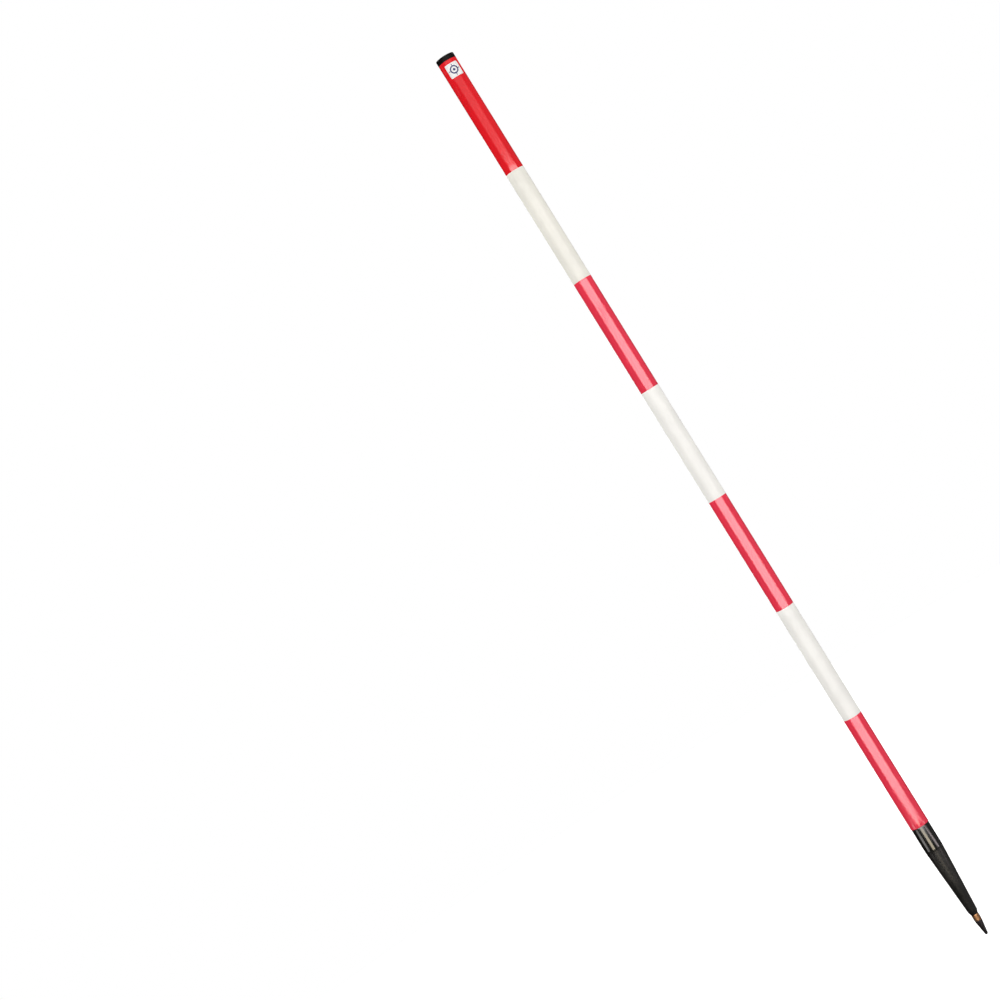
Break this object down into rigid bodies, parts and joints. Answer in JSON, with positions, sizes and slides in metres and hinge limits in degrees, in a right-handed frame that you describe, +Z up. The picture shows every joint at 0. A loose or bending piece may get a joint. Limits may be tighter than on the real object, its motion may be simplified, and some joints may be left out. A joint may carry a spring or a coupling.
{
  "type": "range pole",
  "caption": "Straight surveying range pole: steel tube in red and white plastic bands, with a black cap, a tapered black ground shoe and a screw-in steel point.",
  "frame": {"origin": "the tip of the steel point, on the axis of the pole", "axes": "+Z up along the pole from the tip to the cap, -Y the side with the label, +X to the right of the label"},
  "size_m": [0.0312, 0.0313, 1.6104],
  "materials": {
    "red_sleeve": "glossy PVC sleeve",
    "white_sleeve": "glossy PVC sleeve",
    "zinc_steel": "zinc-plated tube",
    "black_plastic": "moulded, satin",
    "label_vinyl": "printed vinyl",
    "black_lacquer": "glossy stoving lacquer",
    "spring_steel": "oiled spring steel",
    "turned_steel": "turned",
    "brass_collar": "turned, tarnished",
    "dark_steel": "hardened, blackened"
  },
  "bodies": {
    "pole": {"core_tube": "zinc_steel", "band_1_red": "red_sleeve", "band_2_white": "white_sleeve", "band_3_red": "red_sleeve", "band_4_white": "white_sleeve", "band_5_red": "red_sleeve", "band_6_white": "white_sleeve", "band_7_red": "red_sleeve", "label": "label_vinyl", "ground_shoe": "black_lacquer", "shoe_pin": "spring_steel", "point_socket": "turned_steel"},
    "cap": {"end_cap": "black_plastic"},
    "point": {"steel_point": "dark_steel", "point_collar": "brass_collar"}
  },
  "joints": [
    {"name": "cap_pull", "type": "slide", "parent": "pole", "child": "cap", "axis": [0, 0, 1], "range_m": [0, 0.03]},
    {"name": "point_unscrew", "type": "slide", "parent": "pole", "child": "point", "axis": [0, 0, -1], "range_m": [0, 0.03]}
  ]
}
